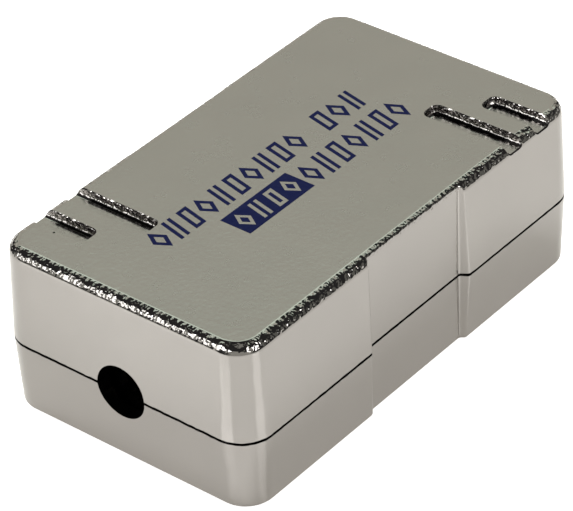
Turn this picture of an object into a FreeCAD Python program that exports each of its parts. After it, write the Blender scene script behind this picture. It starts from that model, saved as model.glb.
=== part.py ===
"""Shielded connection box for two network cables: a plated, two-part moulded housing
around a small board that carries four punch-down terminal blocks.
Millimetres, +X along the box, +Z up, origin at the middle of the underside."""
import FreeCAD, Part
import math
import os
from FreeCAD import Vector

# ---- Housing, outside. Length and width are taken at the parting line. ----
LENGTH = 68.0
WIDTH = 40.0
BASE_HEIGHT = 10.1
COVER_HEIGHT = 13.9
CORNER_RADIUS = 4.5
INNER_CORNER_LEAST = 0.2
BASE_DRAFT = math.radians(2.5)
COVER_DRAFT = math.radians(2.25)
TOP_EDGE_RADIUS = 1.5
FOOT_EDGE_RADIUS = 0.45
WALL = 2.0
ROOF = 2.0
FLOOR = 2.0

# ---- Grip recess in each long side ----
GRIP_LENGTH = 20.1
GRIP_DEPTH = 1.1
GRIP_RAMP_ANGLE = math.radians(55)
GRIP_EDGE_RADIUS = 0.4

# ---- Grooves in the top face, two at each end, open at one long side ----
GROOVE_WIDTH = 2.9
GROOVE_DEPTH = 1.15
GROOVE_ROOT_RADIUS = 0.6
GROOVE_END_RADIUS = 0.9
GROOVE_LIP_BEVEL = 0.15
GROOVE_PITCH = 5.85
GROOVE_END_INSET = 7.85
GROOVE_SHIFT = 0.4  # all four lie this much towards +X
LONG_GROOVE_LENGTH = 14.1
SHORT_GROOVE_LENGTH = 9.2

# ---- Joint between the halves ----
SEAM_GAP = 0.3
LIP_THICKNESS = 0.85
LIP_HEIGHT = 1.5
LIP_CLEARANCE = 0.1

# ---- Cable entries and the ribs that grip the cable ----
ENTRY_DIAMETER = 7.5
SADDLE_RIB = 1.2
SADDLE_RIB_GAP = 2.4
SADDLE_BACKSET = 1.3
SADDLE_CHEEK = 2.0
SADDLE_BITE = 0.5
SADDLE_PARTING_GAP = 1.0

# ---- Closing screws, driven from the underside, and the dowels at the other two corners ----
CORNER_POST_BACKSET = 3.1
CORNER_POST_DIAMETER = 6.2
CORNER_POST_GAP = 0.1
CLOSING_SCREW_DIAMETER = 2.5
CLOSING_SCREW_LENGTH = 12.0
CLOSING_HEAD_DIAMETER = 4.4
CLOSING_HEAD_HEIGHT = 1.6
CLOSING_HEAD_SINK = 1.4
HEAD_CLEARANCE = 0.25
SCREW_CLEARANCE = 0.15
THREAD_CLEARANCE = 0.05
SCREW_TIP_ROOM = 1.0
DOWEL_DIAMETER = 2.6
DOWEL_LENGTH = 3.0
DOWEL_CLEARANCE = 0.1

# ---- Circuit board on four posts ----
BOARD_END_ROOM = 8.0
BOARD_SIDE_ROOM = 1.4
BOARD_THICKNESS = 1.6
BOARD_CORNER_RADIUS = 1.0
POST_HEIGHT = 2.4
POST_DIAMETER = 4.0
POST_END_INSET = 2.6
POST_SIDE_INSET = 2.9
PEG_DIAMETER = 1.8
PEG_STAND = 0.4
PEG_CLEARANCE = 0.1
BOARD_SCREW_DIAMETER = 2.0
BOARD_SCREW_LENGTH = 4.0
BOARD_SCREW_TIP_ROOM = 0.3
BOARD_HEAD_DIAMETER = 3.6
BOARD_HEAD_HEIGHT = 1.3
CROSS_WIDTH_SHARE = 0.2  # this and the next are shares of the head's diameter
CROSS_LENGTH_SHARE = 0.6
CROSS_DEPTH_SHARE = 0.55  # share of the head's height
HEAD_BEVEL = 0.3

# ---- Terminal blocks: two for each cable, four ways in each ----
WAYS = 4
BLOCK_END = 1.0
BLOCK_DEPTH = 8.0
BLOCK_HEIGHT = 10.0
BLOCK_MIDDLE_GAP = 2.0
BLOCK_HEAD_ROOM = 0.6
BLOCK_EDGE_INSET = 0.3
BLOCK_EDGE_CHAMFER = 0.5
WIRE_SLOT_WIDTH = 1.3
WIRE_SLOT_DEPTH = 6.4
WIRE_SLOT_MOUTH = 2.3
CENTRE_SLOT_WIDTH = 1.6
CENTRE_SLOT_DEPTH = 3.2

# ---- Insulation-displacement contacts, turned to the wire ----
CONTACT_TURN = math.radians(45)
CONTACT_WIDTH = 2.5
CONTACT_THICKNESS = 0.5
CONTACT_SINK = 1.2
CONTACT_FLOOR = 1.2
CONTACT_SLIT = 0.35
CONTACT_SLIT_DEPTH = 5.2
CONTACT_MOUTH = 1.1
CONTACT_MOUTH_DEPTH = 0.7
POCKET_CLEARANCE = 0.05
TAIL_WIDTH = 0.6
TAIL_BELOW_BOARD = 1.1
TAIL_CLEARANCE = 0.15

# ---- Worked out from the values above ----
HEIGHT = BASE_HEIGHT + COVER_HEIGHT
PARTING = BASE_HEIGHT
BOARD_UNDERSIDE = FLOOR + POST_HEIGHT
BOARD_TOP = BOARD_UNDERSIDE + BOARD_THICKNESS
BOARD_LENGTH = LENGTH - 2 * (WALL + BOARD_END_ROOM)
BOARD_WIDTH = WIDTH - 2 * (WALL + GRIP_DEPTH + BOARD_SIDE_ROOM)
POST_X = BOARD_LENGTH / 2 - POST_END_INSET
POST_Y = BOARD_WIDTH / 2 - POST_SIDE_INSET
BLOCK_OUTER_END = POST_X - BOARD_HEAD_DIAMETER / 2 - BLOCK_HEAD_ROOM
BLOCK_LENGTH = BLOCK_OUTER_END - BLOCK_MIDDLE_GAP / 2
BLOCK_X = BLOCK_OUTER_END - BLOCK_LENGTH / 2
BLOCK_Y = BOARD_WIDTH / 2 - BLOCK_EDGE_INSET - BLOCK_DEPTH / 2
BLOCK_TOP = BOARD_TOP + BLOCK_HEIGHT
WAY_PITCH = (BLOCK_LENGTH - 2 * BLOCK_END) / WAYS
SHORT_GROOVE_X = LENGTH / 2 - GROOVE_END_INSET
LONG_GROOVE_X = SHORT_GROOVE_X - GROOVE_PITCH
SADDLE_NOTCH_DIAMETER = ENTRY_DIAMETER - SADDLE_BITE
SADDLE_WIDTH = SADDLE_NOTCH_DIAMETER + 2 * SADDLE_CHEEK
CLOSING_HEAD_SEAT = CLOSING_HEAD_SINK + CLOSING_HEAD_HEIGHT
CORNER_POST_X = LENGTH / 2 - WALL - CORNER_POST_BACKSET
CORNER_POST_Y = WIDTH / 2 - WALL - CORNER_POST_BACKSET
LIP_TOP = PARTING + LIP_HEIGHT
CEILING = HEIGHT - ROOF
AIR = 5.0  # how far cutting shapes run past the material
TOLERANCE = 1e-4

os.makedirs("parts", exist_ok=True)


def save(name, shape):
    shape.exportStep("parts/%s.step" % name)
    solids = len(shape.Solids)
    print("%-20s solids %d  volume %9.2f  valid %s" % (name, solids, shape.Volume, shape.isValid()))


def cylinder(x, y, z0, z1, diameter):
    return Part.makeCylinder(diameter / 2, z1 - z0, Vector(x, y, z0))


def block(x0, x1, y0, y1, z0, z1):
    return Part.makeBox(x1 - x0, y1 - y0, z1 - z0, Vector(x0, y0, z0))


def turned(shape, degrees, centre=Vector(0, 0, 0)):
    copy = shape.copy()
    copy.rotate(centre, Vector(0, 0, 1), degrees)
    return copy


# ---------------------------------------------------------------- housing form
def rounded_outline(inset, z):
    """Plan of the housing without its grips, set in from the parting outline."""
    x = LENGTH / 2 - inset
    y = WIDTH / 2 - inset
    r = max(CORNER_RADIUS - inset, INNER_CORNER_LEAST)
    edges = []
    corners = [(x - r, y - r, 0), (r - x, y - r, 90), (r - x, r - y, 180), (x - r, r - y, 270)]
    for index, (cx, cy, start) in enumerate(corners):
        circle = Part.Circle(Vector(cx, cy, z), Vector(0, 0, 1), r)
        arc = Part.Arc(circle, math.radians(start), math.radians(start + 90)).toShape()
        edges.append(arc)
        nx, ny, next_start = corners[(index + 1) % 4]
        turn = math.radians(next_start)
        end = Vector(nx + r * math.cos(turn), ny + r * math.sin(turn), z)
        edges.append(Part.makeLine(arc.valueAt(arc.LastParameter), end))
    return Part.Wire(edges)


def grip_points(inset, z):
    """Corners of a plan that holds only the two grip recesses and stands clear of the box elsewhere."""
    half = GRIP_LENGTH / 2 + inset * math.tan(GRIP_RAMP_ANGLE / 2)
    floor_y = WIDTH / 2 - GRIP_DEPTH - inset
    run = GRIP_DEPTH / math.tan(GRIP_RAMP_ANGLE)
    far_run = AIR / math.tan(GRIP_RAMP_ANGLE)
    far_y = floor_y + GRIP_DEPTH + AIR
    side = [(LENGTH, far_y), (half + far_run, far_y), (half - run, floor_y)]
    points = side + [(-px, py) for px, py in reversed(side)]
    points += [(-px, -py) for px, py in points]
    return [Vector(px, py, z) for px, py in points]


def polygon_face(points):
    return Part.Face(Part.makePolygon(points + points[:1]))


def drawn_in(inset, z, draft):
    """Inset at height z of a wall that leans in from the parting plane."""
    return inset + abs(z - PARTING) * math.tan(draft)


def box_form(inset, z_end, draft):
    """Drafted box without its grips, from the parting plane to z_end."""
    far = rounded_outline(drawn_in(inset, z_end, draft), z_end)
    return Part.makeLoft([rounded_outline(inset, PARTING), far], True, True)


def grip_form(inset, z0, z1):
    """Upright solid that is cut away only at the two grip recesses."""
    return polygon_face(grip_points(inset, z0)).extrude(Vector(0, 0, z1 - z0))


def rim_edges(solid, z):
    return [e for e in solid.Edges if all(abs(v.Z - z) < TOLERANCE for v in e.Vertexes)]


def upright_edges(solid):
    return [e for e in solid.Edges if abs(e.Vertexes[0].Z - e.Vertexes[-1].Z) > GRIP_EDGE_RADIUS]


def grip_corners(solid):
    """Upright edges at the ends of the two recess floors."""
    return [e for e in upright_edges(solid) if abs(e.CenterOfMass.x) < GRIP_LENGTH / 2]


def grip_brinks(half):
    """Upright edges where the recess's ramps meet the long walls."""
    least_y = WIDTH / 2 - GRIP_DEPTH / 2
    return [e for e in grip_corners(half) if abs(e.CenterOfMass.y) > least_y]


def housing_half(z_end, draft, edge_radius):
    """Outside of one half, solid: drafted walls, rounded end edge and both grips."""
    box = box_form(0, z_end, draft)
    box = box.makeFillet(edge_radius, rim_edges(box, z_end))
    grips = grip_form(0, PARTING, z_end)
    half = box.common(grips.makeFillet(GRIP_EDGE_RADIUS, grip_corners(grips)))
    return half.makeFillet(GRIP_EDGE_RADIUS, grip_brinks(half))


def inner_form(inset, z_end, draft):
    """Space inside a wall of the given thickness, from the parting plane to z_end."""
    return box_form(inset, z_end, draft).common(grip_form(inset, PARTING, z_end))


def straight_form(inset, z0, z1):
    """Upright prism on the parting outline, set in all round."""
    box = Part.Face(rounded_outline(inset, z0)).extrude(Vector(0, 0, z1 - z0))
    return box.common(grip_form(inset, z0, z1))


# ---------------------------------------------------------------- shell features
def along_x(z, diameter, x0, x1):
    return Part.makeCylinder(diameter / 2, x1 - x0, Vector(x0, 0, z), Vector(1, 0, 0))


def entry_bores():
    """Both cable entries: round, on the parting plane, half in each shell."""
    inner_end = LENGTH / 2 - WALL - SADDLE_BACKSET / 2
    bores = []
    for side in (-1, 1):
        ends = sorted((side * inner_end, side * (LENGTH / 2 + AIR)))
        bores.append(along_x(PARTING, ENTRY_DIAMETER, *ends))
    return bores


def saddle_ribs(z0, z1):
    """Two ribs behind each entry, notched to bite the cable's jacket."""
    ribs = []
    outermost = LENGTH / 2 - WALL - SADDLE_BACKSET
    for side in (-1, 1):
        for step in range(2):
            outer = outermost - step * (SADDLE_RIB + SADDLE_RIB_GAP)
            x0, x1 = sorted((side * outer, side * (outer - SADDLE_RIB)))
            rib = block(x0, x1, -SADDLE_WIDTH / 2, SADDLE_WIDTH / 2, z0, z1)
            ribs.append(rib.cut(along_x(PARTING, SADDLE_NOTCH_DIAMETER, x0 - AIR, x1 + AIR)))
    return ribs


def screw_corners():
    return [(-CORNER_POST_X, CORNER_POST_Y), (CORNER_POST_X, -CORNER_POST_Y)]


def dowel_corners():
    return [(CORNER_POST_X, CORNER_POST_Y), (-CORNER_POST_X, -CORNER_POST_Y)]


def corner_posts(z0, z1, z_end, draft):
    """Posts in the four corners, round on the inner side and grown into both walls."""
    wall_core = inner_form(WALL / 2, z_end, draft)
    x, y, r = CORNER_POST_X, CORNER_POST_Y, CORNER_POST_DIAMETER / 2
    post = cylinder(x, y, z0, z1, CORNER_POST_DIAMETER)
    to_long_wall = block(x - r, LENGTH / 2, y, WIDTH / 2, z0, z1)
    to_end_wall = block(x, LENGTH / 2, y - r, WIDTH / 2, z0, z1)
    post = post.fuse([to_long_wall, to_end_wall])
    across = post.mirror(Vector(0, 0, 0), Vector(1, 0, 0))
    pairs = [post, across, turned(post, 180), turned(across, 180)]
    return [corner.common(wall_core) for corner in pairs]


def groove(x, length):
    """Cutting shape of one groove: rounded inner corners, flat floor with a hollow root, open at +Y."""
    half = GROOVE_WIDTH / 2
    start = WIDTH / 2 - length
    floor_z = HEIGHT - GROOVE_DEPTH
    slot = block(x - half, x + half, start, WIDTH / 2 + AIR, floor_z, HEIGHT + AIR)
    inner_corners = [e for e in upright_edges(slot) if e.CenterOfMass.y < WIDTH / 2]
    slot = slot.makeFillet(GROOVE_END_RADIUS, inner_corners)
    root = [e for e in rim_edges(slot, floor_z) if e.CenterOfMass.y < WIDTH / 2 + AIR / 2]
    return slot.makeFillet(GROOVE_ROOT_RADIUS, root)


def grooves():
    """Long and short groove of one end, and the same pair turned half round for the other."""
    near = [groove(-LONG_GROOVE_X, LONG_GROOVE_LENGTH), groove(-SHORT_GROOVE_X, SHORT_GROOVE_LENGTH)]
    pairs = near + [turned(shape, 180) for shape in near]
    return [shape.translated(Vector(GROOVE_SHIFT, 0, 0)) for shape in pairs]


def groove_lips(shell):
    """Upper edges of the grooves, in the top face."""
    inside = WIDTH / 2 - drawn_in(0, HEIGHT, COVER_DRAFT) - TOP_EDGE_RADIUS
    lips = []
    for edge in rim_edges(shell, HEIGHT):
        middle = edge.valueAt((edge.FirstParameter + edge.LastParameter) / 2)
        in_row = LONG_GROOVE_X - GROOVE_WIDTH < abs(middle.x) < SHORT_GROOVE_X + GROOVE_WIDTH
        if in_row and abs(middle.y) < inside - TOLERANCE:
            lips.append(edge)
    return lips


# ---------------------------------------------------------------- shells
def cover_shell():
    """Upper half: roof, walls, rebate for the lip, corner posts and upper saddle ribs."""
    shell = housing_half(HEIGHT, COVER_DRAFT, TOP_EDGE_RADIUS)
    shell = shell.cut(grooves())
    shell = shell.makeChamfer(GROOVE_LIP_BEVEL, groove_lips(shell))
    rebate = straight_form(WALL - LIP_THICKNESS - LIP_CLEARANCE, PARTING, LIP_TOP)
    shell = shell.cut([inner_form(WALL, CEILING, COVER_DRAFT), rebate])
    lip_room = rebate.cut(straight_form(WALL + LIP_CLEARANCE, PARTING, LIP_TOP))
    posts = [post.cut(lip_room) for post in corner_posts(PARTING, CEILING, CEILING, COVER_DRAFT)]
    ribs = saddle_ribs(PARTING + SADDLE_PARTING_GAP / 2, CEILING)
    shell = shell.fuse(posts + ribs)
    gap = block(-LENGTH, LENGTH, -WIDTH, WIDTH, PARTING - AIR, PARTING + SEAM_GAP / 2)
    pilot_top = CLOSING_HEAD_SEAT + CLOSING_SCREW_LENGTH + SCREW_TIP_ROOM
    pilot = CLOSING_SCREW_DIAMETER + 2 * THREAD_CLEARANCE
    pilots = [cylinder(x, y, PARTING - AIR, pilot_top, pilot) for x, y in screw_corners()]
    shell = shell.cut([gap] + pilots + entry_bores())
    dowel_foot = PARTING - DOWEL_LENGTH
    dowels = [cylinder(x, y, dowel_foot, LIP_TOP, DOWEL_DIAMETER) for x, y in dowel_corners()]
    return shell.fuse(dowels).removeSplitter()


def base_shell():
    """Lower half: floor, walls, upstanding lip, corner posts, saddle ribs and board posts."""
    shell = housing_half(0, BASE_DRAFT, FOOT_EDGE_RADIUS)
    shell = shell.cut(block(-LENGTH, LENGTH, -WIDTH, WIDTH, PARTING - SEAM_GAP / 2, PARTING + AIR))
    shell = shell.fuse(straight_form(WALL - LIP_THICKNESS, PARTING - SEAM_GAP, LIP_TOP))
    shell = shell.cut([inner_form(WALL, FLOOR, BASE_DRAFT), straight_form(WALL, PARTING, LIP_TOP)])
    posts = corner_posts(FLOOR, PARTING - CORNER_POST_GAP, FLOOR, BASE_DRAFT)
    ribs = saddle_ribs(FLOOR, PARTING - SADDLE_PARTING_GAP / 2)
    seats = [cylinder(x, y, FLOOR, BOARD_UNDERSIDE, POST_DIAMETER) for x, y in post_corners()]
    shell = shell.fuse(posts + ribs + seats)
    clear = CLOSING_SCREW_DIAMETER + 2 * SCREW_CLEARANCE
    sink = CLOSING_HEAD_DIAMETER + 2 * HEAD_CLEARANCE
    socket = DOWEL_DIAMETER + 2 * DOWEL_CLEARANCE
    socket_floor = PARTING - DOWEL_LENGTH - SCREW_TIP_ROOM
    pilot = BOARD_SCREW_DIAMETER + 2 * THREAD_CLEARANCE
    pilot_floor = BOARD_TOP - BOARD_SCREW_LENGTH - BOARD_SCREW_TIP_ROOM
    holes = [cylinder(x, y, -AIR, PARTING + AIR, clear) for x, y in screw_corners()]
    holes += [cylinder(x, y, -AIR, CLOSING_HEAD_SEAT, sink) for x, y in screw_corners()]
    holes += [cylinder(x, y, socket_floor, PARTING + AIR, socket) for x, y in dowel_corners()]
    holes += [cylinder(x, y, pilot_floor, BOARD_TOP, pilot) for x, y in board_screw_places()]
    shell = shell.cut(holes + entry_bores())
    peg_top = BOARD_TOP + PEG_STAND
    pegs = [cylinder(x, y, FLOOR, peg_top, PEG_DIAMETER) for x, y in peg_places()]
    return shell.fuse(pegs).removeSplitter()


# ---------------------------------------------------------------- board and screws
def board_screw_places():
    return [(-POST_X, -POST_Y), (POST_X, POST_Y)]


def peg_places():
    return [(POST_X, -POST_Y), (-POST_X, POST_Y)]


def post_corners():
    return board_screw_places() + peg_places()


def block_places():
    """Middle of each terminal block in plan, with the side of the board it stands on."""
    return [(x * BLOCK_X, y * BLOCK_Y) for x in (-1, 1) for y in (-1, 1)]


def way_places():
    """Middle of every contact, block by block."""
    places = []
    for x, y in block_places():
        for way in range(WAYS):
            places.append((x + (way - (WAYS - 1) / 2) * WAY_PITCH, y))
    return places


def upright_bar(width, grow, z0, z1):
    """Bar of the contact's thickness, grown all round by a clearance."""
    half = width / 2 + grow
    thick = CONTACT_THICKNESS / 2 + grow
    return block(-half, half, -thick, thick, z0, z1)


def circuit_board():
    """Board with clearance holes for screws and pegs and a milled slot for each contact's tail."""
    board = block(-BOARD_LENGTH / 2, BOARD_LENGTH / 2, -BOARD_WIDTH / 2, BOARD_WIDTH / 2,
                  BOARD_UNDERSIDE, BOARD_TOP)
    upright = [e for e in board.Edges if abs(e.Vertexes[0].Z - e.Vertexes[1].Z) > TOLERANCE]
    board = board.makeFillet(BOARD_CORNER_RADIUS, upright)
    through = (BOARD_UNDERSIDE - AIR, BOARD_TOP + AIR)
    screw_hole = BOARD_SCREW_DIAMETER + 2 * SCREW_CLEARANCE
    peg_hole = PEG_DIAMETER + 2 * PEG_CLEARANCE
    holes = [cylinder(x, y, *through, screw_hole) for x, y in board_screw_places()]
    holes += [cylinder(x, y, *through, peg_hole) for x, y in peg_places()]
    tail_slot = turned(upright_bar(TAIL_WIDTH, TAIL_CLEARANCE, *through), math.degrees(CONTACT_TURN))
    holes += [tail_slot.translated(Vector(x, y, 0)) for x, y in way_places()]
    return board.cut(holes)


def screw(diameter, length, head_diameter, head_height):
    """Pan-head screw with a cross recess, standing on its head's bearing face at the origin, tip up."""
    head = Part.makeCylinder(head_diameter / 2, head_height, Vector(0, 0, -head_height))
    head = head.makeChamfer(HEAD_BEVEL, rim_edges(head, -head_height))
    arm = head_diameter * CROSS_WIDTH_SHARE / 2
    reach = head_diameter * CROSS_LENGTH_SHARE / 2
    depth = head_height * CROSS_DEPTH_SHARE
    cross = block(-reach, reach, -arm, arm, -head_height - AIR, -head_height + depth)
    head = head.cut([cross, turned(cross, 90)])
    return head.fuse(Part.makeCylinder(diameter / 2, length)).removeSplitter()


def closing_screw(x, y):
    body = screw(CLOSING_SCREW_DIAMETER, CLOSING_SCREW_LENGTH, CLOSING_HEAD_DIAMETER, CLOSING_HEAD_HEIGHT)
    body.translate(Vector(x, y, CLOSING_HEAD_SEAT))
    return body


def board_screw(x, y):
    body = screw(BOARD_SCREW_DIAMETER, BOARD_SCREW_LENGTH, BOARD_HEAD_DIAMETER, BOARD_HEAD_HEIGHT)
    body.rotate(Vector(0, 0, 0), Vector(1, 0, 0), 180)
    body.translate(Vector(x, y, BOARD_TOP))
    return body


# ---------------------------------------------------------------- terminal blocks and contacts
def prism_along_y(points, depth):
    """Prism of the X, Z outline given, depth thick, centred on Y."""
    face = polygon_face([Vector(x, -depth / 2, z) for x, z in points])
    return face.extrude(Vector(0, depth, 0))


def idc_contact(x, y):
    """Flat fork with a narrow slit and a solder tail, turned across the wire."""
    top = BLOCK_TOP - CONTACT_SINK
    foot = BOARD_TOP + CONTACT_FLOOR
    half_slit = CONTACT_SLIT / 2
    half_mouth = CONTACT_MOUTH / 2
    slit = block(-half_slit, half_slit, -AIR, AIR, top - CONTACT_SLIT_DEPTH, top + AIR)
    mouth = prism_along_y([(-half_mouth, top), (half_mouth, top), (0, top - CONTACT_MOUTH_DEPTH)], AIR)
    fork = upright_bar(CONTACT_WIDTH, 0, foot, top).cut([slit, mouth])
    tail = upright_bar(TAIL_WIDTH, 0, BOARD_UNDERSIDE - TAIL_BELOW_BOARD, foot)
    fork = turned(fork.fuse(tail).removeSplitter(), math.degrees(CONTACT_TURN))
    fork.translate(Vector(x, y, 0))
    return fork


def wire_slot():
    """Cutting shape of one wire slot: parallel sides with a flared mouth."""
    floor_z = BLOCK_TOP - WIRE_SLOT_DEPTH
    half = WIRE_SLOT_WIDTH / 2
    wide = WIRE_SLOT_MOUTH / 2
    flare_z = BLOCK_TOP - (WIRE_SLOT_MOUTH - WIRE_SLOT_WIDTH)
    side = [(half, floor_z), (half, flare_z), (wide, BLOCK_TOP), (wide, BLOCK_TOP + AIR)]
    return prism_along_y(side + [(-x, z) for x, z in reversed(side)], BLOCK_DEPTH + AIR)


def contact_pocket():
    """Cutting shape that takes one contact and its tail."""
    foot = BOARD_TOP + CONTACT_FLOOR
    pocket = upright_bar(CONTACT_WIDTH, POCKET_CLEARANCE, foot, BLOCK_TOP + AIR)
    pocket = pocket.fuse(upright_bar(TAIL_WIDTH, POCKET_CLEARANCE, BOARD_TOP - AIR, foot))
    return turned(pocket, math.degrees(CONTACT_TURN))


def terminal_block(x, y):
    """Moulded block: four wire slots, a tool slot along the top and pockets for the contacts."""
    half_length = BLOCK_LENGTH / 2
    half_depth = BLOCK_DEPTH / 2
    half_centre = CENTRE_SLOT_WIDTH / 2
    body = block(-half_length, half_length, -half_depth, half_depth, BOARD_TOP, BLOCK_TOP)
    body = body.makeChamfer(BLOCK_EDGE_CHAMFER, rim_edges(body, BLOCK_TOP))
    cuts = [block(BLOCK_END - half_length, half_length - BLOCK_END, -half_centre, half_centre,
                  BLOCK_TOP - CENTRE_SLOT_DEPTH, BLOCK_TOP + AIR)]
    for way in range(WAYS):
        for shape in (wire_slot(), contact_pocket()):
            shape.translate(Vector((way - (WAYS - 1) / 2) * WAY_PITCH, 0, 0))
            cuts.append(shape)
    body = body.cut(cuts)
    body.translate(Vector(x, y, 0))
    return body


# ---------------------------------------------------------------- all pieces
save("base_shell", base_shell())
save("cover_shell", cover_shell())
save("circuit_board", circuit_board())
for number, (px, py) in enumerate(block_places(), 1):
    save("terminal_block_%d" % number, terminal_block(px, py))
for number, (px, py) in enumerate(way_places(), 1):
    save("idc_contact_%02d" % number, idc_contact(px, py))
for number, (px, py) in enumerate(screw_corners(), 1):
    save("closing_screw_%d" % number, closing_screw(px, py))
for number, (px, py) in enumerate(board_screw_places(), 1):
    save("board_screw_%d" % number, board_screw(px, py))
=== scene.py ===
import math

import bmesh
import bpy
from mathutils import Matrix, Vector


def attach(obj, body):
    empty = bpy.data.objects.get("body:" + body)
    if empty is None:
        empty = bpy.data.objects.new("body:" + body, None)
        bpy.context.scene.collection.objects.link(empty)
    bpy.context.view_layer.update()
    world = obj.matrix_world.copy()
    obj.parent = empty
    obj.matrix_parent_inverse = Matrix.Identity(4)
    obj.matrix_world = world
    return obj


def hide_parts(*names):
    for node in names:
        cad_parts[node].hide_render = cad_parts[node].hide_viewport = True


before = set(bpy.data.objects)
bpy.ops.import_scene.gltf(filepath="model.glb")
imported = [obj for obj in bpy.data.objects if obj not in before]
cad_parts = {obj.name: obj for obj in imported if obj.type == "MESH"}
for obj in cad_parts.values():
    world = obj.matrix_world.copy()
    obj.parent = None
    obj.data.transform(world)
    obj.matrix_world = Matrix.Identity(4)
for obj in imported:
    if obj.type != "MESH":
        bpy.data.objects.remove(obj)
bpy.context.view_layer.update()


# ---------------------------------------------------------------- base of the housing
# The lower half of the box: a shallow ABS tray with a plain foot, moulded in one shot and then
# nickel plated inside and out. Its walls come bright from a polished tool; only the foot face
# carries the fine grain of spark erosion.
MM = 0.001


def add_node(tree, kind, settings=None, **sockets):
    """One node of a material, world or geometry tree. A socket goes by its name, or by i and its
    number, and is given a value or an output to follow."""
    node = tree.nodes.new(kind)
    for name, value in (settings or {}).items():
        setattr(node, name, value)
    for name, value in sockets.items():
        numbered = name[0] == "i" and name[1:].isdigit()
        socket = node.inputs[int(name[1:]) if numbered else name.replace("_", " ")]
        if isinstance(value, bpy.types.NodeSocket):
            tree.links.new(value, socket)
        else:
            socket.default_value = value
    return node


def lead_to(tree, shader, **outputs):
    """Leads each output to the shader's socket of that name."""
    for name, output in outputs.items():
        tree.links.new(output, shader.inputs[name.replace("_", " ")])


def new_material(name):
    """A material with one shader, and its coordinates on the object in millimetres."""
    material = bpy.data.materials.new(name)
    material.use_nodes = True
    tree = material.node_tree
    shader = tree.nodes["Principled BSDF"]
    place = add_node(tree, "ShaderNodeTexCoord").outputs["Object"]
    in_mm = add_node(tree, "ShaderNodeVectorMath", {"operation": "SCALE"}, i0=place, Scale=1.0 / MM)
    return material, tree, shader, in_mm.outputs[0]


def maths(tree, operation, first, second=0.0):
    return add_node(tree, "ShaderNodeMath", {"operation": operation}, i0=first, i1=second).outputs[0]


def times(tree, first, second):
    return maths(tree, "MULTIPLY", first, second)


def less(tree, first, second):
    return maths(tree, "SUBTRACT", first, second)


def plus(tree, first, second):
    return maths(tree, "ADD", first, second)


def spread(tree, value, low, high, to_low, to_high):
    """A value from low..high laid out over to_low..to_high, and held there beyond."""
    return add_node(tree, "ShaderNodeMapRange", Value=value, From_Min=low, From_Max=high,
                    To_Min=to_low, To_Max=to_high).outputs["Result"]


def rising(tree, value, start, full):
    """Nothing up to the start, and 1 from full on."""
    return spread(tree, value, start, full, 0.0, 1.0)


def falling(tree, value, full, end):
    """1 up to full, and nothing from the end on."""
    return spread(tree, value, full, end, 1.0, 0.0)


def noise(tree, place, scale, detail=2.0, roughness=0.5):
    """Cloudy values from 0 to 1, scale features to a millimetre."""
    return add_node(tree, "ShaderNodeTexNoise", Vector=place, Scale=scale, Detail=detail,
                    Roughness=roughness).outputs["Fac"]


def varied(tree, cloud, low, high):
    """Noise laid out from low to high. Most of it lies between 0.3 and 0.7."""
    return spread(tree, cloud, 0.3, 0.7, low, high)


def between(tree, share, first, second):
    """A number between two others, by the share of the second."""
    return add_node(tree, "ShaderNodeMix", {"data_type": "FLOAT"}, Factor=share, i2=first,
                    i3=second).outputs[0]


def mixed(tree, share, first, second):
    """A colour between two others; each is a colour or an output to follow."""
    mix = add_node(tree, "ShaderNodeMix", {"data_type": "RGBA"}, Factor=share)
    for index, tone in ((6, first), (7, second)):
        if isinstance(tone, bpy.types.NodeSocket):
            tree.links.new(tone, mix.inputs[index])
        else:
            mix.inputs[index].default_value = (*tone, 1)
    return mix.outputs[2]


def relief(tree, height, depth, strength=1.0, **under):
    """A fine relief, depth millimetres deep. Normal can name another one that lies under it."""
    return add_node(tree, "ShaderNodeBump", Height=height, Strength=strength, Distance=depth * MM,
                    **under).outputs[0]


def painted_shade_and_flaw(tree, place, upward):
    """How much painted shade, or the dark of one small flaw of the top, lies over the nickel, from 0 to
    1. Shade is painted along the joint, with a ragged edge, and in the inner corners of the grooves."""
    along, across, height = add_node(tree, "ShaderNodeSeparateXYZ", Vector=place).outputs

    # Painted shade along the joint between the halves, its edges made ragged by noise.
    joint_foot, joint_top, joint_edge = 9.89, 10.29, 0.01
    ragged_depth = 0.05
    ragged_edge = varied(tree, noise(tree, place, scale=0.9), -ragged_depth, ragged_depth)
    ragged_height = plus(tree, height, ragged_edge)
    joint_shade = times(tree, rising(tree, ragged_height, joint_foot - joint_edge, joint_foot),
                     falling(tree, ragged_height, joint_top, joint_top + joint_edge))

    flaw_middle, flaw_core, flaw_radius = (-27.7, 15.0, 24.0), 0.12, 0.2
    from_flaw = add_node(tree, "ShaderNodeVectorMath", {"operation": "DISTANCE"}, i0=place,
                         i1=flaw_middle).outputs["Value"]
    in_flaw = falling(tree, from_flaw, flaw_core, flaw_radius)

    # Painted shade in the inner corners of the grooves, low in them and away from their open ends.
    groove_middles = (-25.75, -19.9, 20.7, 26.55)
    beyond_all = 99.0
    corner_starts, corner_full = 0.42, 0.62
    root_shade_fades, root_shade_gone = 16.8, 17.4
    floor_starts, floor_full, lip_starts, lip_full = 22.7, 22.75, 23.12, 23.22
    steep, gentle, root_shade_most = 0.5, 0.64, 0.94
    from_middle = beyond_all
    for middle in groove_middles:
        aside = maths(tree, "ABSOLUTE", less(tree, along, middle))
        from_middle = maths(tree, "MINIMUM", from_middle, aside)
    in_corner = times(tree, rising(tree, from_middle, corner_starts, corner_full),
                      falling(tree, maths(tree, "ABSOLUTE", across), root_shade_fades, root_shade_gone))
    low_in_groove = times(tree, rising(tree, height, floor_starts, floor_full),
                          falling(tree, height, lip_starts, lip_full))
    root_shade = times(tree, times(tree, in_corner, low_in_groove),
                 spread(tree, upward, steep, gentle, 0.0, root_shade_most))
    return maths(tree, "MAXIMUM", maths(tree, "MAXIMUM", joint_shade, in_flaw), root_shade)


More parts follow.
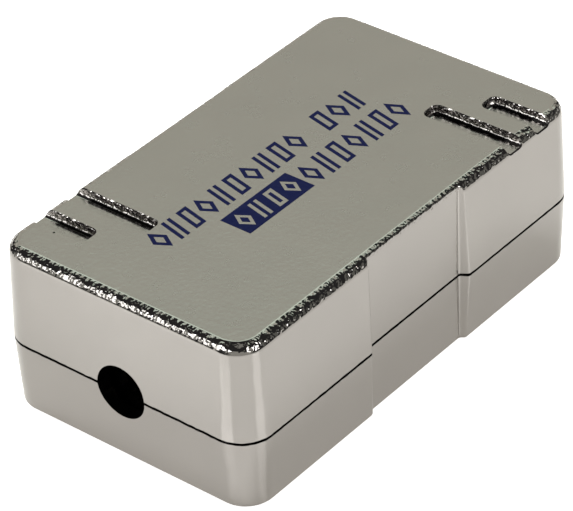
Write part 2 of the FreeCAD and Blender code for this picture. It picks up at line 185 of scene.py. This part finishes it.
def plated_finish():
    """Bright nickel over moulded ABS. The walls are smooth, the rounded upper edge and the sides of
    the grooves carry a coarse spark-eroded grain, and the flat top, the grooves' floors and the foot
    a fine one."""
    material, tree, shader, place = new_material("plated_housing")
    height = add_node(tree, "ShaderNodeSeparateXYZ", Vector=place).outputs["Z"]
    facing = add_node(tree, "ShaderNodeNewGeometry").outputs["Normal"]
    upward = add_node(tree, "ShaderNodeSeparateXYZ", Vector=facing).outputs["Z"]

    level, nearly_level, leaning, well_over = (math.cos(math.radians(tilt)) for tilt in (2, 4, 9, 14))
    rounding_starts, rounding_full = 22.5, 22.6
    coarse_starts, coarse_full = 22.95, 23.25
    fine_starts, fine_full = 22.0, 22.5
    foot_full, foot_ends = 0.01, 0.03
    flat = rising(tree, upward, nearly_level, level)
    rounded = times(tree, rising(tree, height, rounding_starts, rounding_full),
                    less(tree, 1.0, flat))
    coarse = times(tree, rising(tree, height, coarse_starts, coarse_full),
                   falling(tree, upward, well_over, leaning))
    fine = plus(tree, times(tree, rising(tree, height, fine_starts, fine_full), flat),
                falling(tree, height, foot_full, foot_ends))

    nickel_dark, nickel_light = (0.335, 0.320, 0.305), (0.365, 0.348, 0.330)
    # Near black for the painted shade in the joint and in the grooves' corners, and for the small flaw.
    shade_and_flaw_dark = (0.014, 0.013, 0.013)
    nickel = mixed(tree, noise(tree, place, scale=0.12, detail=3.0), nickel_dark, nickel_light)
    colour = mixed(tree, painted_shade_and_flaw(tree, place, upward), nickel, shade_and_flaw_dark)

    wall_roughness, grain_roughness, edge_roughness = (0.11, 0.18), (0.23, 0.28), 0.06
    smears = noise(tree, place, scale=0.35, detail=4.0, roughness=0.6)
    off_edge = between(tree, fine, varied(tree, smears, *wall_roughness),
                       varied(tree, smears, *grain_roughness))
    roughness = between(tree, rounded, off_edge, edge_roughness)

    fine_share = 0.12
    waves = relief(tree, noise(tree, place, scale=0.16, detail=1.0), depth=0.025)
    grain = relief(tree, noise(tree, place, scale=1.7, detail=0.8), depth=0.21,
                   strength=plus(tree, coarse, times(tree, fine, fine_share)), Normal=waves)
    lead_to(tree, shader, Base_Color=colour, Roughness=roughness, Normal=grain)
    shader.inputs["Metallic"].default_value = 1.0
    return material


def settled(piece):
    """Turns a piece's modifiers into its plain mesh."""
    graph = bpy.context.evaluated_depsgraph_get()
    finished = bpy.data.meshes.new_from_object(piece.evaluated_get(graph), depsgraph=graph)
    piece.modifiers.clear()
    piece.data = finished


def moulded_half(piece_name, node_name, finish):
    """A half of the housing as one skin, smooth round its radii and crisp at its sharp corners."""
    sewing_distance = 0.0002 * MM
    sharp_corner = math.radians(30)
    sewn = bmesh.new()
    sewn.from_mesh(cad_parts[node_name].data)
    bmesh.ops.remove_doubles(sewn, verts=sewn.verts, dist=sewing_distance)
    skin = bpy.data.meshes.new(piece_name)
    sewn.to_mesh(skin)
    sewn.free()
    if "custom_normal" in skin.attributes:
        skin.attributes.remove(skin.attributes["custom_normal"])
    skin.shade_smooth()
    skin.set_sharp_from_angle(angle=sharp_corner)
    half = bpy.data.objects.new(piece_name, skin)
    bpy.context.scene.collection.objects.link(half)
    flats_first = half.modifiers.new("flats_first", "WEIGHTED_NORMAL")
    flats_first.keep_sharp = True
    flats_first.weight = 100
    settled(half)
    half.data.materials.clear()
    half.data.materials.append(finish)
    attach(half, "root")
    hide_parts(node_name)


plated = plated_finish()
moulded_half("base_half", "base_shell", plated)


# ---------------------------------------------------------------- circuit board
# A plate of glass-fibre laminate under green solder mask. It rests on four posts of the base,
# two of them with pegs, and two small screws hold it down.
def laminate_finish():
    """Green mask with the weave showing faintly through on both faces, and bare cut edges."""
    underside, top, mask_edge = 4.43, 5.97, 0.02
    mask_dark, mask_light = (0.010, 0.105, 0.040), (0.016, 0.140, 0.055)
    bare_laminate = (0.36, 0.30, 0.15)
    weave_share = 0.35
    material, tree, shader, place = new_material("solder_mask")
    height = add_node(tree, "ShaderNodeSeparateXYZ", Vector=place).outputs["Z"]
    masked = maths(tree, "MAXIMUM", rising(tree, height, top - mask_edge, top),
                   falling(tree, height, underside, underside + mask_edge))
    weave = add_node(tree, "ShaderNodeTexWave", {"bands_direction": "X"}, Vector=place, Scale=1.2,
                     Distortion=0.4).outputs["Fac"]
    mask = mixed(tree, times(tree, weave, weave_share), mask_dark, mask_light)
    lead_to(tree, shader, Base_Color=mixed(tree, masked, bare_laminate, mask),
            Roughness=varied(tree, noise(tree, place, scale=0.8), 0.22, 0.36),
            Normal=relief(tree, noise(tree, place, scale=4.0), depth=0.01, strength=0.5))
    return material


def dress(node_name, finish):
    """A CAD piece kept as it is, with its finish on every slot."""
    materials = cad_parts[node_name].data.materials
    for index in range(len(materials)):
        materials[index] = finish


dress("circuit_board", laminate_finish())


# ---------------------------------------------------------------- terminal blocks
# Four blocks of ivory polycarbonate, each with four ways. They are moulded with wire slots across
# them, and their contacts' tails hold them to the board.
def terminal_finish():
    """Slightly translucent ivory plastic with a faint, uneven sheen."""
    ivory_dark, ivory_light = (0.70, 0.68, 0.60), (0.78, 0.76, 0.69)
    material, tree, shader, place = new_material("terminal_plastic")
    lead_to(tree, shader,
            Base_Color=mixed(tree, noise(tree, place, scale=0.5, detail=3.0), ivory_dark, ivory_light),
            Roughness=varied(tree, noise(tree, place, scale=1.5), 0.38, 0.5),
            Normal=relief(tree, noise(tree, place, scale=6.0), depth=0.008, strength=0.4))
    shader.inputs["Subsurface Weight"].default_value = 0.05
    shader.inputs["Subsurface Scale"].default_value = 0.5 * MM
    return material


ivory = terminal_finish()
for block in range(1, 5):
    dress(f"terminal_block_{block}", ivory)


# ---------------------------------------------------------------- contacts
# Sixteen insulation-displacement forks, stamped from spring bronze strip. They stand in the blocks
# at an angle, and their tails are soldered into the board.
def contact_finish():
    """Bright bronze with the fine streaks of rolling, which run up the forks."""
    bronze_dark, bronze_light = (0.62, 0.44, 0.19), (0.78, 0.58, 0.28)
    rolling = (9.0, 9.0, 0.6)
    material, tree, shader, place = new_material("contact_metal")
    rolled = add_node(tree, "ShaderNodeVectorMath", {"operation": "MULTIPLY"}, i0=place, i1=rolling)
    streaks = noise(tree, rolled.outputs[0], scale=1.0, detail=3.0)
    lead_to(tree, shader, Base_Color=mixed(tree, streaks, bronze_dark, bronze_light),
            Roughness=varied(tree, streaks, 0.2, 0.36),
            Normal=relief(tree, streaks, depth=0.006, strength=0.4))
    shader.inputs["Metallic"].default_value = 1.0
    return material


bronze = contact_finish()
for contact in range(1, 17):
    dress(f"idc_contact_{contact:02d}", bronze)


# ---------------------------------------------------------------- screws
# Zinc plated pan-head screws for thin plastic: two short ones on the board, and two long ones
# driven up from under the base into the cover's corner posts.
def screw_finish():
    """Cool grey zinc, with fine rings round the screw."""
    zinc_dark, zinc_light = (0.46, 0.47, 0.49), (0.60, 0.61, 0.62)
    turning = (1.0, 1.0, 14.0)
    material, tree, shader, place = new_material("screw_steel")
    turned = add_node(tree, "ShaderNodeVectorMath", {"operation": "MULTIPLY"}, i0=place, i1=turning)
    rings = noise(tree, turned.outputs[0], scale=1.2)
    lead_to(tree, shader, Base_Color=mixed(tree, rings, zinc_dark, zinc_light),
            Roughness=varied(tree, rings, 0.24, 0.4),
            Normal=relief(tree, rings, depth=0.01, strength=0.3))
    shader.inputs["Metallic"].default_value = 1.0
    return material


steel = screw_finish()
for screw in (1, 2):
    dress(f"board_screw_{screw}", steel)
    dress(f"closing_screw_{screw}", steel)


# ---------------------------------------------------------------- cover of the housing
# The upper half, deeper than the base, with a rounded upper edge, a shallow grip recess in each
# long side and four open grooves in its roof. It is moulded and plated as the base is, and its
# top comes grained from a spark-eroded tool.
moulded_half("cover_half", "cover_shell", plated)


# ---------------------------------------------------------------- print on the cover
# Two rows of screen print in dark blue ink on the top face: hollow lozenges, slanted bars and
# hollow blocks above, and below a solid panel with open windows and more such marks. The ink is
# one thin coat.
def ink_finish():
    """Matt blue ink, slightly uneven over the grain of the top."""
    ink_dark, ink_light = (0.002, 0.004, 0.030), (0.004, 0.007, 0.044)
    material, tree, shader, place = new_material("printing_ink")
    lead_to(tree, shader,
            Base_Color=mixed(tree, noise(tree, place, scale=2.2, detail=3.0), ink_dark, ink_light),
            Roughness=varied(tree, noise(tree, place, scale=1.3), 0.42, 0.58),
            Normal=relief(tree, noise(tree, place, scale=1.9, detail=1.0), depth=0.24, strength=0.1))
    shader.inputs["Specular IOR Level"].default_value = 0.06
    return material


def joined(tree, *shapes):
    both = tree.nodes.new("GeometryNodeJoinGeometry")
    for shape in shapes:
        tree.links.new(shape, both.inputs[0])
    return both.outputs[0]


def moved(tree, shape, offset):
    return add_node(tree, "GeometryNodeTransform", Geometry=shape, Translation=offset).outputs[0]


def offset_by(tree, **lengths):
    return add_node(tree, "ShaderNodeCombineXYZ", **lengths).outputs[0]


def lozenge(tree, width, height):
    half = times(tree, height, 0.5)
    return add_node(tree, "GeometryNodeCurvePrimitiveQuadrilateral", {"mode": "KITE"}, Width=width,
                    Bottom_Height=half, Top_Height=half).outputs[0]


def slanted_bar(tree, width, height, slant):
    """A bar that leans over by slant times its height."""
    return add_node(tree, "GeometryNodeCurvePrimitiveQuadrilateral", {"mode": "PARALLELOGRAM"},
                    Width=width, Height=height, Offset=times(tree, height, slant)).outputs[0]


def mark_outlines(tree, width, height, stroke, slant):
    """The three kinds of mark, the last of them first in a row: a hollow slanted block, two slanted
    bars and a hollow lozenge."""
    opening_share, block_share = 0.5, 0.75
    both_strokes = times(tree, stroke, 2.0)
    hollow_lozenge = joined(tree, lozenge(tree, width, height),
                            lozenge(tree, times(tree, width, opening_share),
                                    times(tree, height, opening_share)))
    bar = slanted_bar(tree, stroke, height, slant)
    two_bars = joined(tree, moved(tree, bar, offset_by(tree, X=stroke)),
                      moved(tree, bar, offset_by(tree, X=times(tree, stroke, -1.0))))
    block_width = times(tree, width, block_share)
    hollow_block = joined(tree, slanted_bar(tree, block_width, height, slant),
                          slanted_bar(tree, less(tree, block_width, both_strokes),
                                      less(tree, height, both_strokes), slant))
    return hollow_block, two_bars, hollow_lozenge


def print_tree(on_panel):
    """A row of the three marks in turn, in which one place may stay empty. On a panel, the ink lies
    round the marks instead of in them."""
    sizes = {"Places": "Int", "Empty Place": "Int", "Pitch": "Float", "Start": "Vector",
             "Foot": "Float", "Mark Width": "Float", "Mark Height": "Float", "Stroke": "Float",
             "Slant": "Float", "Coat": "Float"}
    if on_panel:
        sizes.update({"Panel Length": "Float", "Panel Height": "Float", "Panel Middle": "Vector"})
    seam = 0.0005 * MM
    tree = bpy.data.node_groups.new("printed_marks", "GeometryNodeTree")
    tree.interface.new_socket("Geometry", in_out="OUTPUT", socket_type="NodeSocketGeometry")
    for name, kind in sizes.items():
        tree.interface.new_socket(name, in_out="INPUT", socket_type="NodeSocket" + kind)
    size = tree.nodes.new("NodeGroupInput").outputs

    outlines = mark_outlines(tree, size["Mark Width"], size["Mark Height"], size["Stroke"],
                             size["Slant"])
    kinds = tree.nodes.new("GeometryNodeGeometryToInstance")
    for outline in outlines:
        tree.links.new(outline, kinds.inputs[0])
    row = add_node(tree, "GeometryNodeMeshLine", Count=size["Places"], Start_Location=size["Start"],
                   Offset=offset_by(tree, X=size["Pitch"])).outputs[0]
    place = tree.nodes.new("GeometryNodeInputIndex").outputs[0]
    filled = add_node(tree, "FunctionNodeCompare", {"data_type": "INT", "operation": "NOT_EQUAL"},
                      i2=place, i3=size["Empty Place"]).outputs[0]
    placed = add_node(tree, "GeometryNodeInstanceOnPoints", Points=row, Selection=filled,
                      Instance=kinds.outputs[0], Pick_Instance=True,
                      Instance_Index=maths(tree, "MODULO", place, float(len(outlines)))).outputs[0]
    loops = add_node(tree, "GeometryNodeRealizeInstances", Geometry=placed).outputs[0]
    if on_panel:
        rim = add_node(tree, "GeometryNodeCurvePrimitiveQuadrilateral", Width=size["Panel Length"],
                       Height=size["Panel Height"]).outputs[0]
        loops = joined(tree, loops, moved(tree, rim, size["Panel Middle"]))

    flat = add_node(tree, "GeometryNodeFillCurve", Curve=loops).outputs[0]
    raised = add_node(tree, "GeometryNodeExtrudeMesh", Mesh=flat, Individual=False,
                      Offset=offset_by(tree, Z=size["Coat"])).outputs[0]
    under = add_node(tree, "GeometryNodeFlipFaces", Mesh=flat).outputs[0]
    closed = add_node(tree, "GeometryNodeMergeByDistance", Geometry=joined(tree, raised, under),
                      Distance=seam).outputs[0]
    on_cover = moved(tree, closed, offset_by(tree, Z=size["Foot"]))
    final = add_node(tree, "GeometryNodeSetMaterial", Geometry=on_cover, Material=ink).outputs[0]
    tree.links.new(final, tree.nodes.new("NodeGroupOutput").inputs["Geometry"])
    return tree


def printed_piece(tree, piece_name, sizes):
    """The plain mesh that a geometry tree makes for these sizes, as a piece of print on the cover."""
    piece = bpy.data.objects.new(piece_name, bpy.data.meshes.new(piece_name))
    bpy.context.scene.collection.objects.link(piece)
    grow = piece.modifiers.new("grow", "NODES")
    grow.node_group = tree
    for item in tree.interface.items_tree:
        if item.item_type == "SOCKET" and item.in_out == "INPUT":
            grow[item.identifier] = sizes[item.name]
    settled(piece)
    piece.data.materials.clear()
    piece.data.materials.append(ink)
    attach(piece, "root")


ink = ink_finish()
no_place = -1
marks = print_tree(on_panel=False)
alike = {"Stroke": 0.55 * MM, "Slant": 0.22, "Coat": 0.014 * MM, "Foot": 23.996 * MM}
printed_piece(marks, "print_upper_row", {
    "Places": 14, "Empty Place": 10, "Pitch": 2.92 * MM, "Start": (-21.3 * MM, 3.45 * MM, 0),
    "Mark Width": 2.5 * MM, "Mark Height": 4.2 * MM, **alike})
printed_piece(marks, "print_lower_row", {
    "Places": 7, "Empty Place": no_place, "Pitch": 2.95 * MM, "Start": (0.6 * MM, -2.6 * MM, 0),
    "Mark Width": 2.4 * MM, "Mark Height": 4.5 * MM, **alike})
printed_piece(print_tree(on_panel=True), "print_panel", {
    "Places": 4, "Empty Place": no_place, "Pitch": 2.95 * MM, "Start": (-12.0 * MM, -2.29 * MM, 0),
    "Mark Width": 2.2 * MM, "Mark Height": 3.5 * MM, "Panel Length": 12.65 * MM,
    "Panel Height": 4.77 * MM, "Panel Middle": (-7.58 * MM, -2.29 * MM, 0), **alike})


# ---------------------------------------------------------------- floor and light
# The box stands on a white table that glows a little of itself, in a dark studio. Four soft lamps
# light the table and the print; the plating mirrors the table, three bright panels and pale boards.
def table_top():
    """A round sheet just clear of the foot. It can be seen through from below, for the underside."""
    reach, corners = 0.18, 96
    gap = 0.02 * MM
    white, smooth = (0.8, 0.8, 0.8, 1), 0.08
    glow_mirrored, glow_seen = (0.25, 0.228, 0.185), (0.9, 0.9, 0.9)
    top = bmesh.new()
    bmesh.ops.create_circle(top, cap_ends=True, radius=reach, segments=corners)
    bmesh.ops.translate(top, verts=top.verts, vec=(0, 0, -gap))
    sheet = bpy.data.meshes.new("table")
    top.to_mesh(sheet)
    top.free()
    material = bpy.data.materials.new("table_white")
    material.use_nodes = True
    tree = material.node_tree
    shader = tree.nodes["Principled BSDF"]
    shader.inputs["Base Color"].default_value = white
    shader.inputs["Roughness"].default_value = smooth
    seen = add_node(tree, "ShaderNodeLightPath").outputs["Is Camera Ray"]
    lead_to(tree, shader, Emission_Color=mixed(tree, seen, glow_mirrored, glow_seen))
    shader.inputs["Emission Strength"].default_value = 1.0
    from_below = add_node(tree, "ShaderNodeNewGeometry").outputs["Backfacing"]
    clear = tree.nodes.new("ShaderNodeBsdfTransparent")
    one_sided = add_node(tree, "ShaderNodeMixShader", i0=from_below, i1=shader.outputs[0],
                         i2=clear.outputs[0])
    tree.links.new(one_sided.outputs[0], tree.nodes["Material Output"].inputs["Surface"])
    sheet.materials.append(material)
    table = bpy.data.objects.new("table", sheet)
    bpy.context.scene.collection.objects.link(table)


def studio_walls():
    """What the plating mirrors: a dark room, four dim boards in it, and a large pale one behind the box
    with a brighter band along its top. The three numbers of a board say how near a direction is to
    its middle where it starts and where it is whole, and at what height it is cut off."""
    room = (0.045, 0.045, 0.045)
    uncut, soft_cut = 1.1, 0.04
    pale, bright_band, band_starts, band_full = (0.775, 0.76, 0.67), (1.4, 1.6, 1.4), 0.64, 0.67
    background_seen = (1.3, 1.3, 1.3)
    world = bpy.data.worlds.new("studio")
    bpy.context.scene.world = world
    world.use_nodes = True
    tree = world.node_tree
    tree.nodes.clear()
    towards = add_node(tree, "ShaderNodeTexCoord").outputs["Generated"]
    height = add_node(tree, "ShaderNodeSeparateXYZ", Vector=towards).outputs["Z"]
    pale_board = mixed(tree, rising(tree, height, band_starts, band_full), pale, bright_band)
    boards = {
        "behind the camera": ((-0.66, -0.66, 0.30), 0.60, 0.85, 0.52, (0.58, 0.57, 0.53)),
        "left": ((-0.62, 0.75, 0.22), 0.90, 0.97, uncut, (0.50, 0.50, 0.46)),
        "right": ((0.80, -0.58, 0.15), 0.93, 0.98, uncut, (0.25, 0.25, 0.23)),
        "overhead": ((0.0, 0.0, 1.0), 0.965, 0.985, uncut, (0.42, 0.42, 0.39)),
        "behind the box": ((0.62, 0.52, 0.58), 0.70, 0.86, 0.77, pale_board)}
    mirrored = room
    for middle, starts, whole, top, colour in boards.values():
        nearness = add_node(tree, "ShaderNodeVectorMath", {"operation": "DOT_PRODUCT"}, i0=towards,
                            i1=middle).outputs["Value"]
        on_board = add_node(tree, "ShaderNodeMapRange", {"interpolation_type": "SMOOTHSTEP"},
                            Value=nearness, From_Min=starts, From_Max=whole, To_Min=0.0,
                            To_Max=1.0).outputs["Result"]
        below_cut = falling(tree, height, top - soft_cut, top)
        mirrored = mixed(tree, times(tree, on_board, below_cut), mirrored, colour)
    seen = add_node(tree, "ShaderNodeLightPath").outputs["Is Camera Ray"]
    background = add_node(tree, "ShaderNodeBackground",
                          Color=mixed(tree, seen, mirrored, background_seen))
    output = tree.nodes.new("ShaderNodeOutputWorld")
    tree.links.new(background.outputs[0], output.inputs[0])


def lamp(name, direction, distance, width, height, radiance, mirrored):
    """A panel that faces the box from this direction. It either lights the table and the print, or
    shows in the plating only."""
    box_middle = Vector((0, 0, 12 * MM))
    light = bpy.data.lights.new(name, "AREA")
    light.shape = "RECTANGLE"
    light.size = width
    light.size_y = height
    light.energy = radiance * math.pi * width * height
    panel = bpy.data.objects.new(name, light)
    bpy.context.scene.collection.objects.link(panel)
    aim = Vector(direction).normalized()
    panel.location = aim * distance + box_middle
    panel.rotation_euler = aim.to_track_quat("Z", "Y").to_euler()
    panel.visible_camera = False
    panel.visible_glossy = mirrored
    panel.visible_diffuse = not mirrored


table_top()
studio_walls()
lamp_distance, panel_distance = 0.8, 0.6
for name, direction, side, radiance in (
        ("overhead", (0.0, 0.0, 1.0), 0.6, 1.1),
        ("near", (-0.62, -0.60, 0.50), 0.35, 5.4),
        ("key", (-0.10, 0.42, 0.90), 0.35, 12.0),
        ("fill", (0.50, -0.35, 0.79), 0.35, 7.0)):
    lamp(name, direction, lamp_distance, side, side, radiance, mirrored=False)
for name, direction, width, height, radiance in (
        ("left_panel", (-0.867, 0.277, 0.415), 0.456, 0.266, 2.9),
        ("corner_panel", (-0.80, 0.12, 0.57), 0.30, 0.10, 7.0),
        ("right_panel", (0.04, -0.87, 0.49), 0.24, 0.30, 5.0)):
    lamp(name, direction, panel_distance, width, height, radiance, mirrored=True)
bpy.context.scene.view_settings.view_transform = "Standard"


# ---------------------------------------------------------------- camera
# A long lens less than half a metre away. It looks down on one end of the box and on a long side,
# as at something on a desk.
def camera():
    azimuth, elevation, roll = math.radians(-49.76), math.radians(35.72), math.radians(-2.71)
    aim = Vector((-0.0011, 0.0002, 0.01105))
    distance = 0.42055
    back = Vector((math.sin(azimuth) * math.cos(elevation), -math.cos(azimuth) * math.cos(elevation),
                   math.sin(elevation)))
    level = Vector((math.cos(azimuth), math.sin(azimuth), 0))
    upright = back.cross(level)
    right = level * math.cos(roll) + upright * math.sin(roll)
    up = upright * math.cos(roll) - level * math.sin(roll)
    lens = bpy.data.cameras.new("camera")
    lens.lens = 208.4
    lens.sensor_width = 36.0
    lens.sensor_fit = "HORIZONTAL"
    lens.shift_x = -0.0044
    lens.shift_y = 0.00136
    lens.clip_start = 0.01
    holder = bpy.data.objects.new("camera", lens)
    bpy.context.scene.collection.objects.link(holder)
    turn = Matrix((right, up, back)).transposed().to_4x4()
    holder.matrix_world = Matrix.Translation(aim + back * distance) @ turn
    bpy.context.scene.camera = holder


camera()
